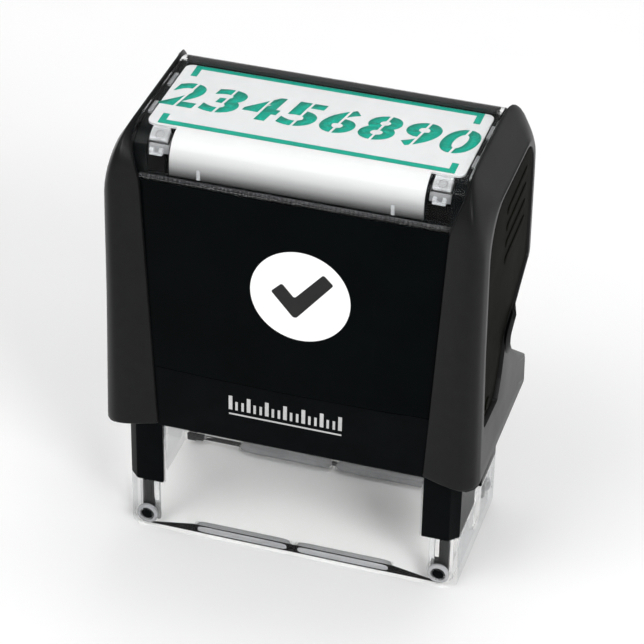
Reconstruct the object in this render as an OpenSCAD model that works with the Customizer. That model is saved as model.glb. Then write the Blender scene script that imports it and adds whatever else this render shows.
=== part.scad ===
// Self-inking stamp for a 47 x 18 mm text plate.
// The paper is the plane z = 0, +X runs along the text, -Y is the side that faces the user.
// Everything is drawn at rest: handle up, text plate turned up against the ink pad.

/* [Base] */
// Outside width of the foot and the base frame
base_w = 54.8; // [54.4:0.1:54.9]
// Outside depth of the foot and the base frame
base_d = 26.2; // [26:0.1:26.3]
// Width of the chamfer down each upright corner
corner_cut = 1.5; // [1:0.1:2]
// Height of the clear foot below the black legs
foot_h = 9.4; // [8.8:0.1:9.8]
// Height of the arch in the front and rear walls
arch_z = 21; // [20:0.1:22]
// Half width of the arch
arch_half = 21.5; // [20:0.1:22]
// Top of the base frame's walls
frame_top = 40.5; // [40:0.1:41]

/* [Mechanism] */
// How far the handle goes down
travel = 21; // [20.5:0.1:21]
// Height of the text plate's axle at rest
axle_z = 26.2; // [26:0.1:26.3]
// Radius of the axle ends
axle_r = 2; // [1.8:0.1:2]
// Distance from the axle to the cam pin that turns the text plate over
cam_reach = 6; // [5.5:0.1:6]
// Radius of the cam pin
cam_pin_r = 1.25; // [1:0.05:1.3]
// Turns in the return spring
spring_turns = 7.5; // [6:0.5:8]

/* [Handle] */
// Height of the window above the paper
top_z = 75; // [74.5:0.1:75.5]
// Lower edge of the handle
skirt_z = 22; // [21.8:0.1:22.2]
// Half depth over the front and rear faces
face_y = 14.2; // [14.1:0.05:14.3]
// Radius of the window where it turns down to the faces
window_r = 5; // [4.5:0.1:5]
// Thickness of the window
window_t = 1.1; // [0.9:0.1:1.1]
// Half width of the window
window_half = 25.6; // [25:0.1:25.6]
// Half depth over the side arms
arm_y = 16.1; // [15.8:0.1:16.3]
// Half width over the side arms at the skirt
arm_x = 30.5; // [30.3:0.1:30.6]

/* [Hidden] */
fit = 0.1;              // gap between pieces that are fixed together
slip = 0.15;            // gap between pieces that slide on each other
big = 100;              // longer than any cut needs
wall_x = 1.6;           // side walls of the base frame
wall_y = 1.2;           // front and rear walls of the base frame
foot_t = 1.1;           // walls of the clear foot
leg_z = foot_h + fit;   // underside of the black legs
shell_t = 0.95;         // walls of the handle's shell
inner_x = base_w / 2 - wall_x;
inner_y = base_d / 2 - wall_y;
rail_x = 24.1;          // inner edge of the rails that carry the cartridge
rail_z = 31.9;          // top of those rails
deck_z = 38.4;          // underside of the base frame's deck
deck_t = 1.4;
spring_z = deck_z + deck_t;
spring_r = 5.1;         // to the middle of the wire
wire_r = 0.5;
post_r = 4.2;           // posts that centre the spring
post_h = 2.5;
yoke_x = base_w / 2 + slip;
yoke_t = 0.8;
yoke_y = 6.6;
yoke_top = top_z - 2.7;
yoke_deck = yoke_top - 1.3;
arm_in = yoke_x + yoke_t + 0.05;
panel_top = top_z - 8.1;
panel_foot = 33.4;      // lower edge of the front panel at its ends
panel_half = 24.6;
panel_t = 0.45;
mouth_z = [29, 45];     // opening in the rear wall for the ink cartridge
boss_x = 24.5;          // pins that hold the foot
boss_z = 2.3;
pin_r = 0.95;
plate_y = 9.3;          // half depth of the text plate's holder
holder_half = 23.8;
die_half = 23.5;
die_face = 5.2;         // from the axle to the printing face
cushion_z = [2.2, 3.2];
relief_h = 0.8;
button_y = -8.2;
button_z = 33.9;
button_r = 1.4;
lock_drop = 3;          // how far down the handle is when the buttons can lock it
print_half = [22.8, 8.6];

// Points on an arc, in the order that the angles run
function arc(c, r, from, to, n = 8) =
    [for (i = [0:n]) let (a = from + (to - from) * i / n) [c[0] + r * cos(a), c[1] + r * sin(a)]];

// Where the cam pin is when the handle has gone a share t of its travel: [y, z]
function cam_at(t) = [cam_reach * sin(180 * t), axle_z - travel * t - cam_reach * cos(180 * t)];

// A rectangle with cut corners, centred on the origin
module cut_rectangle(w, d, cut) {
    x = w / 2;
    y = d / 2;
    polygon([[x - cut, -y], [x, -y + cut], [x, y - cut], [x - cut, y],
             [-x + cut, y], [-x, y - cut], [-x, -y + cut], [-x + cut, -y]]);
}

// An upright tube on the base's outline
module tube(z0, z1, tx, ty) {
    translate([0, 0, z0]) linear_extrude(z1 - z0) difference() {
        cut_rectangle(base_w, base_d, corner_cut);
        cut_rectangle(base_w - 2 * tx, base_d - 2 * ty, corner_cut * 0.8);
    }
}

// A box between two corners
module block(low, high) {
    translate(low) cube(high - low);
}

// Extrudes a drawing made in [y, z] along X, from x0 to x1
module along_x(x0, x1) {
    translate([x0, 0, 0]) rotate([90, 0, 90]) linear_extrude(x1 - x0) children();
}

// Extrudes a drawing made in [x, z] along Y, from y0 to y1
module along_y(y0, y1) {
    translate([0, y1, 0]) rotate([90, 0, 0]) linear_extrude(y1 - y0) children();
}

// A round bar along X
module bar_x(r, x0, x1, y, z) {
    translate([x0, y, z]) rotate([0, 90, 0]) cylinder(r = r, h = x1 - x0, $fn = 48);
}

// A round bar along Y
module bar_y(r, y0, y1, x, z) {
    translate([x, y1, z]) rotate([90, 0, 0]) cylinder(r = r, h = y1 - y0, $fn = 48);
}

// Repeats the front-right quarter's child in all four quarters
module four_corners() {
    for (sx = [0, 1], sy = [0, 1]) mirror([sx, 0, 0]) mirror([0, sy, 0]) children();
}

module both_sides() {
    for (sx = [0, 1]) mirror([sx, 0, 0]) children();
}

// The opening in each side wall: a slot for the axle, and behind it the pocket that steers the cam pin
module cam_window(gap) {
    r = cam_pin_r + gap;
    mid_z = axle_z - travel / 2;
    upper = [for (t = [0:0.08:0.4]) let (
        d = [cam_reach * PI * cos(180 * t), cam_reach * PI * sin(180 * t) - travel],
        s = r / norm(d)) cam_at(t) + [-d[1] * s, d[0] * s]];
    lower = [for (i = [len(upper) - 1:-1:0]) [upper[i][0], 2 * mid_z - upper[i][1]]];
    polygon(concat([[0, upper[0][1] + 1]], upper, arc([cam_reach, mid_z], r, 35, -35), lower,
                   [[0, 2 * mid_z - upper[0][1] - 1]]));
    translate([-axle_r - gap, 0]) square([2 * (axle_r + gap), axle_z]);
    translate([0, axle_z]) circle(r = axle_r + gap, $fn = 48);
}

module base_frame() color("#101214") {
    difference() {
        union() {
            tube(leg_z, frame_top, wall_x, wall_y);
            block([-inner_x - 0.4, -inner_y - 0.4, deck_z], [inner_x + 0.4, inner_y + 0.4, deck_z + deck_t]);
            translate([0, 0, spring_z - 0.2]) cylinder(r = post_r, h = post_h + 0.2, $fn = 48);
            both_sides() block([rail_x, -inner_y - 0.4, rail_z - 1.3], [inner_x + 0.4, inner_y + 0.4, rail_z]);
            four_corners() difference() {
                union() {
                    block([rail_x, -inner_y + 0.6, 0.8], [inner_x - 0.1, -inner_y + 1.8, leg_z + 0.2]);
                    block([boss_x - 1.6, -inner_y + 0.6, 0.8], [inner_x - 0.1, -inner_y + 1.5, boss_z + 1.7]);
                }
                bar_y(pin_r + 0.02, -big, 0, boss_x, boss_z);
            }
            four_corners() block([rail_x, -inner_y + 0.6, leg_z], [inner_x + 0.6, -inner_y + 1.8, leg_z + 5]);
        }
        block([-arch_half, -big, 0], [arch_half, big, arch_z]);
        block([-25.2, inner_y - 1, rail_z - 0.4], [25.2, big, deck_z - 0.1]);
        both_sides() along_x(inner_x - 1, base_w / 2 + 1) cam_window(slip);
        // catches that the lock buttons reach once the handle is a little way down
        both_sides() bar_x(button_r + 0.2, inner_x - 1, base_w / 2 + 1, button_y, button_z - lock_drop);
    }
}

// Clear skirt that shows the user where the imprint will land
module foot_frame() color("#dfe6e8", 0.35) {
    difference() {
        union() {
            tube(0, foot_h, foot_t, foot_t);
            for (s = [0, 1]) mirror([0, s, 0]) {
                block([-arch_half + 0.2, -base_d / 2, foot_h - 1],
                      [arch_half - 0.2, -base_d / 2 + foot_t, arch_z - 0.2]);
                block([-16.7, -base_d / 2 + 0.4, 0], [16.7, -base_d / 2 + foot_t + 1.2, 1.4]);
            }
            four_corners() bar_y(2.1, -base_d / 2 + 0.4, -base_d / 2 + foot_t + 0.5, boss_x, boss_z);
        }
        four_corners() bar_y(pin_r + 0.02, -big, 0, boss_x, boss_z);
        for (s = [0, 1]) mirror([0, s, 0])
            block([-0.3, -base_d / 2 + foot_t, -1], [0.3, -base_d / 2 + foot_t + 2, 3]);
        both_sides() along_x(base_w / 2 - 3, base_w / 2 + 1) {
            translate([-axle_r - 0.3, axle_z - travel]) square([2 * (axle_r + 0.3), foot_h]);
            translate([0, axle_z - travel]) circle(r = axle_r + 0.3, $fn = 48);
        }
    }
}

module foot_pins() color("#15171a") {
    four_corners() bar_y(pin_r, -base_d / 2 + 0.15, -inner_y + 1.5, boss_x, boss_z);
}

// Coil along Z, as rings of points swept round the axis
module return_spring() color("silver") {
    ring_n = 8;
    steps = 14 * spring_turns;
    z0 = spring_z + wire_r;
    z1 = yoke_deck - wire_r;
    points = [for (i = [0:steps]) let (turn = 360 * spring_turns * i / steps, z = z0 + (z1 - z0) * i / steps)
        for (k = [0:ring_n - 1]) let (a = 360 * k / ring_n, r = spring_r + wire_r * cos(a))
            [r * cos(turn), r * sin(turn), z + wire_r * sin(a)]];
    sides = [for (i = [0:steps - 1], k = [0:ring_n - 1]) let (n = (k + 1) % ring_n, at = i * ring_n)
        [at + k, at + ring_n + k, at + ring_n + n, at + n]];
    first = [for (k = [0:ring_n - 1]) k];
    last = [for (k = [ring_n - 1:-1:0]) steps * ring_n + k];
    polyhedron(points, concat([first], sides, [last]), convexity = 10);
}

// Drawer that holds the ink pad face down; it pulls out to the rear
module cartridge_tray() color("#1a1c1f") {
    rear = base_d / 2 - 0.1;
    difference() {
        block([-25, -11.3, rail_z + fit], [25, rear, deck_z - 0.3]);
        block([-24, -10.3, 0], [24, 10.3, 36.5]);
        for (x = [-14:4:14]) block([x - 0.8, rear - 0.6, rail_z + 1], [x + 0.8, big, deck_z - 1.2]);
    }
}

module ink_pad() color("#1d8a76") block([-23.9, -10.2, 31.8], [23.9, 10.2, 36.4]);

// Section of the handle's top in [y, z]: what lies within the window, less a thickness
function cap_section(inset, foot) = concat(
    [[face_y - inset, foot]],
    arc([face_y - window_r, top_z - window_r], window_r - inset, 0, 90),
    arc([window_r - face_y, top_z - window_r], window_r - inset, 90, 180),
    [[inset - face_y, foot]]);

module cap_shell() color("#0b0d0f") {
    under = window_t + 0.5;
    difference() {
        union() {
            along_x(-25.5, 25.5) difference() {
                polygon(cap_section(under, panel_top - 3));
                polygon(cap_section(under + 1, panel_top - 4));
            }
            block([-27.5, -face_y, skirt_z], [27.5, -face_y + shell_t, panel_top]);
            block([-27.5, face_y - shell_t, mouth_z[1]], [27.5, face_y, panel_top]);
            for (s = [0, 1]) mirror([0, s, 0])
                block([-25.5, -face_y + 0.1, panel_top - 3], [25.5, -face_y + under + 1, panel_top]);
        }
        along_y(-face_y - 1, -face_y + panel_t + 0.02) panel_outline(fit);
        mirror([0, 1, 0]) block([-panel_half - fit, -face_y - 1, mouth_z[1] + 2],
                                [panel_half + fit, -face_y + panel_t + 0.02, big]);
        // pockets for the window's snap hooks, open upwards so that it lifts straight off
        four_corners() block([19.9, -face_y - 1, 67.4], [23.4, -9.5, big]);
    }
}

// Front panel in [x, z]: straight sides and a gently sagging lower edge
module panel_outline(gap) {
    sag = 0.6;
    r = (panel_half * panel_half + sag * sag) / (2 * sag);
    half = asin(panel_half / r);
    polygon(concat(arc([0, panel_foot - sag - gap + r], r, 270 - half, 270 + half, 16),
                   [[panel_half + gap, panel_foot - gap], [panel_half + gap, panel_top + gap],
                    [-panel_half - gap, panel_top + gap], [-panel_half - gap, panel_foot - gap]]));
}

module front_panel() color("#050607") along_y(-face_y, -face_y + panel_t) panel_outline(0);

module rear_panel() color("#050607")
    block([-panel_half, face_y - panel_t, mouth_z[1] + 2.1], [panel_half, face_y, panel_top]);

// Bracket inside the handle that carries the axle and takes the spring
module yoke() color("#1b1d20") {
    difference() {
        union() {
            block([-yoke_x - yoke_t, -yoke_y, yoke_deck], [yoke_x + yoke_t, yoke_y, yoke_top]);
            both_sides() block([yoke_x, -yoke_y, skirt_z + 0.8], [yoke_x + yoke_t, yoke_y, yoke_top]);
            both_sides() along_y(-yoke_y, yoke_y)
                polygon([[yoke_x + 0.1, yoke_deck + 0.1], [yoke_x - 1.1, yoke_deck + 0.1], [yoke_x + 0.1, yoke_deck - 1.1]]);
            translate([0, 0, yoke_deck - post_h]) cylinder(r = post_r, h = post_h + 0.5, $fn = 48);
        }
        // outer corners cut to lie under the arms' sloping shoulders
        both_sides() along_y(-yoke_y - 1, yoke_y + 1)
            polygon([[26.4, yoke_top + 0.1], [29, yoke_top + 0.1], [29, yoke_top - 3], [yoke_x + yoke_t + 0.1, yoke_top - 2.4]]);
        both_sides() bar_x(axle_r + 0.05, yoke_x - 1, yoke_x + yoke_t + 1, 0, axle_z);
    }
}

module clear_window() color("#e8eef0", 0.3) {
    difference() {
        along_x(-window_half, window_half) difference() {
            polygon(cap_section(0, panel_top + 0.1));
            polygon(cap_section(window_t, panel_top - 1));
        }
        // finger nick in the rear edge, for lifting the window off
        block([-5, face_y - 0.6, panel_top - 1], [5, big, panel_top + 1]);
    }
    // snap hooks, two at each corner, that reach through the shell's pockets
    four_corners() {
        block([20.1, -face_y + window_t - 0.2, 70.5], [20.8, -10.6, 71.3]);
        block([22.4, -face_y + window_t - 0.2, 70.5], [23.1, -10.6, 71.3]);
        block([20.7, -face_y + window_t - 0.2, 67.8], [22.9, -11.2, 68.8]);
    }
}

// Printed card under the window: flat on top, with a tongue that follows the window down the front
module index_card() color("white") {
    low = top_z - window_t - 0.4;
    block([-24.5, -9.2, low], [24.5, 9.2, low + 0.25]);
    along_x(-19.6, 19.6) polygon(concat(
        [[-9, low]],
        arc([window_r - face_y, top_z - window_r], window_r - window_t - 0.4, 90, 155),
        arc([window_r - face_y, top_z - window_r], window_r - window_t - 0.15, 155, 90),
        [[-9, low + 0.25]]));
}

// Lower edge of the handle's rear: a thin wall under the cartridge opening, with a bar along its outside
module rear_bumper() color("#2c2d30") {
    translate([0, 0, skirt_z]) linear_extrude(6) difference() {
        cut_rectangle(42.8, 2 * arm_y, 1);
        translate([-big, -big]) square([2 * big, big + face_y - 0.1]);
    }
    block([-27.5, face_y - shell_t, skirt_z], [27.5, face_y, mouth_z[0]]);
}

// Right arm seen from the side, in [y, z]
function arm_side() = concat(
    [[-arm_y, skirt_z], [arm_y, skirt_z], [arm_y, skirt_z + 5]],
    [[3.2, 37]], arc([3.1, 39], 1.6, 230, 120, 5), [[14, 46.2]],
    arc([arm_y - 1.8, 49], 1.8, 290, 360, 4),
    arc([arm_y - 7, top_z - 6.8], 7, 0, 90, 8),
    arc([7 - arm_y, top_z - 6.8], 7, 90, 180, 8));

// Right arm seen from the front, in [x, z]
function arm_front() = concat(
    [[21.6, skirt_z], [arm_x, skirt_z], [arm_x - 0.5, 45], [arm_x - 0.7, 62]],
    arc([arm_x - 5.5, top_z - 6.4], 4.7, 0, 60, 8),
    [[26.4, top_z + 0.2], [25.8, top_z + 0.2], [25.7, 73], [24.5, 70], [23.9, 67]]);

// Right arm seen from above, in [x, y]
function arm_plan() = concat(
    [[20, -face_y + 0.4], [24, -15.4]],
    arc([27, -arm_y + 2.4], 2.4, 250, 290, 4),
    arc([arm_x - 2, -arm_y + 2.8], 2, 310, 360, 5),
    arc([arm_x - 2, arm_y - 2.8], 2, 0, 50, 5),
    arc([27, arm_y - 2.4], 2.4, 70, 110, 4),
    [[24, 15.4], [20, face_y - 0.4]]);

// Soft grip seen from the side, in [y, z]
module grip_outline(gap) {
    offset(delta = gap) polygon(concat(
        [[-11.8, 32.6], [-10.8, 31.8], [-3.4, 31.4]],
        [[-0.2, 37.4], [1.4, 40.6], [14.2, 47.4]],
        [[14.2, 62]], arc([8.2, 63], 6, 0, 80, 6),
        arc([-4.8, 61], 8, 95, 165, 6), [[-12.4, 58]]));
}

module right_arm() color("#303134") difference() {
    intersection() {
        along_x(20, 32) polygon(arm_side());
        along_y(-20, 20) polygon(arm_front());
        translate([0, 0, 20]) linear_extrude(60) polygon(arm_plan());
    }
    block([0, -face_y - 0.05, 0], [arm_in, face_y + 0.05, yoke_top + 0.1]);
    block([0, -face_y - 0.06, panel_top], [window_half + fit, face_y + 0.06, big]);
    along_x(29.05, 40) grip_outline(0.08);
    bar_x(button_r + 0.15, 20, 40, button_y, button_z);
}

module right_grip() color("#121314") difference() {
    union() {
        along_x(29.1, 29.62) grip_outline(0);
        intersection() {
            along_x(29.3, 29.9) grip_outline(-0.7);
            for (i = [0:3]) block([29.3, -2.5, 55.6 + 2.9 * i], [29.9, 10.5, 57.2 + 2.9 * i]);
        }
    }
    bar_x(button_r + 0.15, 20, 40, button_y, button_z);
}

module right_lock_button() color("#1c1d1f") {
    bar_x(button_r, 28.6, 29.6, button_y, button_z);
    bar_x(button_r - 0.3, 29.6, 29.85, button_y, button_z);
}

// Turns over with the text plate. Drawn about the axle, then lifted to it
module die_holder() color("#24262a") translate([0, 0, axle_z]) {
    difference() {
        block([-holder_half, -plate_y, -2.6], [holder_half, plate_y, cushion_z[0]]);
        for (x = [-18, -6, 6]) block([x, -7.6, -3], [x + 12 - 1.4, 7.6, -1.2]);
    }
    both_sides() {
        bar_x(4, holder_half - 0.2, 25.3, 0, 0);
        along_x(holder_half - 0.2, 25.3) polygon([[-1.9, 0], [1.9, 0], [1.6, -cam_reach], [-1.6, -cam_reach]]);
        bar_x(1.6, holder_half - 0.2, 25.3, 0, -cam_reach);
        bar_x(cam_pin_r, 25.2, base_w / 2 - 0.1, 0, -cam_reach);
        bar_x(axle_r, 25.2, yoke_x + yoke_t - 0.05, 0, 0);
    }
}

module die_cushion() color("#c9c2ae")
    translate([0, 0, axle_z]) block([-die_half, -9.2, cushion_z[0]], [die_half, 9.2, cushion_z[1]]);

// Rubber plate with a raised frame, open in the middle of its short sides, and a row of eight blocks
module text_die() color("#b5483a") translate([0, 0, axle_z]) {
    top = die_face - relief_h;
    block([-die_half, -9.2, cushion_z[1]], [die_half, 9.2, top]);
    for (s = [0, 1]) mirror([0, s, 0]) {
        block([-print_half[0], -print_half[1], top - 0.1], [print_half[0], 1 - print_half[1], die_face]);
        both_sides() block([print_half[0] - 1, -print_half[1], top - 0.1],
                           [print_half[0], 3.6 - print_half[1], die_face]);
    }
    for (i = [0:7]) translate([-20.3 + i * 5.8, 0, 0]) block([-2.2, -3.6, top - 0.1], [2.2, 3.6, die_face]);
}

base_frame();
foot_frame();
foot_pins();
return_spring();
cartridge_tray();
ink_pad();
cap_shell();
yoke();
clear_window();
index_card();
front_panel();
rear_panel();
rear_bumper();
mirror([1, 0, 0]) right_arm();  // left_arm
right_arm();
mirror([1, 0, 0]) right_grip();  // left_grip
right_grip();
mirror([1, 0, 0]) right_lock_button();  // left_lock_button
right_lock_button();
die_holder();
die_cushion();
text_die();
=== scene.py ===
import math
import bmesh
import bpy
import numpy as np
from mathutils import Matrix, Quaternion, Vector


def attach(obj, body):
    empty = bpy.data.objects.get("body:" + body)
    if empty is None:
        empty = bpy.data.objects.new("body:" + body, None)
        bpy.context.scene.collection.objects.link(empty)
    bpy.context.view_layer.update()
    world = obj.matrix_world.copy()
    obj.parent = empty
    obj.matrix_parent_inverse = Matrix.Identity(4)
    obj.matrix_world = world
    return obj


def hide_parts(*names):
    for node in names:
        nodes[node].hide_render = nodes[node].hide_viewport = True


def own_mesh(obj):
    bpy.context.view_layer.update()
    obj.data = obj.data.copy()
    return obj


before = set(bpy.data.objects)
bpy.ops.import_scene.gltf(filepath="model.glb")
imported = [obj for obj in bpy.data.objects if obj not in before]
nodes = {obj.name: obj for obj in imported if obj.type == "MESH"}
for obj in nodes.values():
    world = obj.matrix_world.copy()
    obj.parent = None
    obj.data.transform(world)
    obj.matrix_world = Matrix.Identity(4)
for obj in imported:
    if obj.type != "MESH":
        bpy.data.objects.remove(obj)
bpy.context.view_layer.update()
print("frame loaded,", len(nodes), "parts")

mm = 0.001

# camera, floor and light

cameraPlan = {"azimuth": 16.5, "elevation": 34.4, "roll": 1.2, "distance": 0.4346,
              "target": (0.0007, 0.0, 0.0373), "lens": 154.7}
floorPlan = {"size": 6.0, "drop": 0.00008}
lightPlan = {
    "skyColor": (1.0, 1.0, 1.0), "skyStrength": 0.50,
    "boxes": [  # place, aim, width, height, watts
        ((-0.45, -0.60, 0.95), (0, 0, 0.04), 0.7, 0.7, 4.3),
        ((0.80, -0.35, 0.60), (0, 0, 0.05), 0.5, 0.7, 1.0),
        ((0.10, 0.45, 1.25), (0, 0, 0.05), 0.8, 0.5, 3.2),
        ((0.66, -0.62, 0.60), (0, 0, 0.06), 0.36, 0.36, 4.4),
    ],
}


def placeCamera(plan):
    azimuth, elevation, roll = (math.radians(plan[k]) for k in ("azimuth", "elevation", "roll"))
    back = Vector((math.sin(azimuth) * math.cos(elevation), -math.cos(azimuth) * math.cos(elevation),
                   math.sin(elevation)))
    data = bpy.data.cameras.new("camera")
    data.lens = plan["lens"]
    data.clip_start, data.clip_end = 0.01, 20
    camera = bpy.data.objects.new("camera", data)
    bpy.context.scene.collection.objects.link(camera)
    camera.rotation_mode = "QUATERNION"
    camera.rotation_quaternion = Quaternion(back, roll) @ (-back).to_track_quat("-Z", "Y")
    camera.location = Vector(plan["target"]) + back * plan["distance"]
    bpy.context.scene.camera = camera


def placeLights(plan):
    world = bpy.data.worlds.new("paleSky")
    world.use_nodes = True
    sky = world.node_tree.nodes["Background"]
    sky.inputs["Color"].default_value = (*plan["skyColor"], 1)
    sky.inputs["Strength"].default_value = plan["skyStrength"]
    bpy.context.scene.world = world
    for number, (place, aim, width, height, watts) in enumerate(plan["boxes"]):
        data = bpy.data.lights.new("softbox%d" % number, "AREA")
        data.shape = "RECTANGLE"
        data.size, data.size_y, data.energy = width, height, watts
        lamp = bpy.data.objects.new(data.name, data)
        bpy.context.scene.collection.objects.link(lamp)
        lamp.location = place
        lamp.rotation_mode = "QUATERNION"
        lamp.rotation_quaternion = (Vector(aim) - Vector(place)).to_track_quat("-Z", "Y")


placeCamera(cameraPlan)
placeLights(lightPlan)
bpy.context.scene.view_settings.view_transform = "Standard"
print("camera and lights placed")

# materials


def newGroup(name, inputs, outputs):
    group = bpy.data.node_groups.new(name, "ShaderNodeTree")
    for label, kind, value in inputs:
        socket = group.interface.new_socket(label, in_out="INPUT", socket_type="NodeSocket" + kind)
        socket.default_value = value
    for label, kind in outputs:
        group.interface.new_socket(label, in_out="OUTPUT", socket_type="NodeSocket" + kind)
    return group, group.nodes.new("NodeGroupInput"), group.nodes.new("NodeGroupOutput")


def addNode(tree, kind, settings=None, **values):
    node = tree.nodes.new(kind)
    for key, value in (settings or {}).items():
        setattr(node, key, value)
    for key, value in values.items():
        node.inputs[key.replace("_", " ")].default_value = value
    return node


def mathNode(tree, operation, first, second):
    node = addNode(tree, "ShaderNodeMath", {"operation": operation})
    for socket, value in zip(node.inputs, (first, second)):
        if isinstance(value, bpy.types.NodeSocket):
            tree.links.new(value, socket)
        else:
            socket.default_value = value
    return node.outputs[0]


def makeGrain():
    # fine sparkle of a moulded surface: small noise as height, large noise as uneven gloss
    group, given, out = newGroup("mouldGrain", [("Scale", "Float", 3000.0), ("Height", "Float", 0.00001),
                                 ("Gloss", "Float", 0.4), ("Spread", "Float", 0.1)],
                                 [("Roughness", "Float"), ("Normal", "Vector")])
    place = addNode(group, "ShaderNodeTexCoord")
    fine = addNode(group, "ShaderNodeTexNoise", Detail=2.0, Roughness=0.6)
    broad = addNode(group, "ShaderNodeTexNoise", Scale=180.0, Detail=3.0, Roughness=0.55)
    bump = addNode(group, "ShaderNodeBump", Strength=1.0)
    link = group.links.new
    link(place.outputs["Object"], fine.inputs["Vector"])
    link(place.outputs["Object"], broad.inputs["Vector"])
    link(given.outputs["Scale"], fine.inputs["Scale"])
    link(mathNode(group, "MULTIPLY", fine.outputs["Fac"], given.outputs["Height"]), bump.inputs["Height"])
    bump.inputs["Distance"].default_value = 1.0
    uneven = mathNode(group, "SUBTRACT", broad.outputs["Fac"], 0.5)
    link(mathNode(group, "ADD", given.outputs["Gloss"],
                  mathNode(group, "MULTIPLY", uneven, given.outputs["Spread"])), out.inputs["Roughness"])
    link(bump.outputs["Normal"], out.inputs["Normal"])
    return group


def makeScuffs():
    # thin hairlines in two directions and cloudy handling marks, from 0 where clean to 1
    group, given, out = newGroup("handlingMarks", [("Amount", "Float", 0.3), ("Fineness", "Float", 900.0)],
                                 [("Mask", "Float")])
    place = addNode(group, "ShaderNodeTexCoord")
    link = group.links.new
    lines = []
    for turn in (0.35, -0.8):
        squeeze = addNode(group, "ShaderNodeMapping", Scale=(1.0, 1.0, 0.03), Rotation=(turn, turn * 0.6, 0.0))
        hair = addNode(group, "ShaderNodeTexNoise", Detail=1.0)
        link(place.outputs["Object"], squeeze.inputs["Vector"])
        link(squeeze.outputs["Vector"], hair.inputs["Vector"])
        link(given.outputs["Fineness"], hair.inputs["Scale"])
        cut = addNode(group, "ShaderNodeMapRange", **{"From_Min": 0.68, "From_Max": 0.78})
        link(hair.outputs["Fac"], cut.inputs["Value"])
        lines.append(cut.outputs["Result"])
    cloud = addNode(group, "ShaderNodeTexNoise", Scale=120.0, Detail=3.0)
    link(place.outputs["Object"], cloud.inputs["Vector"])
    patch = addNode(group, "ShaderNodeMapRange", **{"From_Min": 0.45, "From_Max": 0.7})
    link(cloud.outputs["Fac"], patch.inputs["Value"])
    both = mathNode(group, "MAXIMUM", lines[0], lines[1])
    mark = mathNode(group, "MULTIPLY", both, patch.outputs["Result"])
    mist = mathNode(group, "MULTIPLY", patch.outputs["Result"], 0.25)
    link(mathNode(group, "MULTIPLY", mathNode(group, "ADD", mark, mist), given.outputs["Amount"]),
         out.inputs["Mask"])
    return group


def makeMottle():
    # two colours mixed in soft spots
    group, given, out = newGroup("mottle", [("Scale", "Float", 400.0), ("First", "Color", (1, 1, 1, 1)),
                                 ("Second", "Color", (1, 1, 1, 1))], [("Color", "Color")])
    place = addNode(group, "ShaderNodeTexCoord")
    spots = addNode(group, "ShaderNodeTexNoise", Detail=4.0, Roughness=0.6)
    sharpen = addNode(group, "ShaderNodeMapRange", **{"From_Min": 0.35, "From_Max": 0.65})
    mix = addNode(group, "ShaderNodeMix", {"data_type": "RGBA"})
    link = group.links.new
    link(place.outputs["Object"], spots.inputs["Vector"])
    link(given.outputs["Scale"], spots.inputs["Scale"])
    link(spots.outputs["Fac"], sharpen.inputs["Value"])
    link(sharpen.outputs["Result"], mix.inputs["Factor"])
    link(given.outputs["First"], mix.inputs[6])
    link(given.outputs["Second"], mix.inputs[7])
    link(mix.outputs[2], out.inputs["Color"])
    return group


grainGroup, scuffGroup, mottleGroup = makeGrain(), makeScuffs(), makeMottle()

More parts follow.
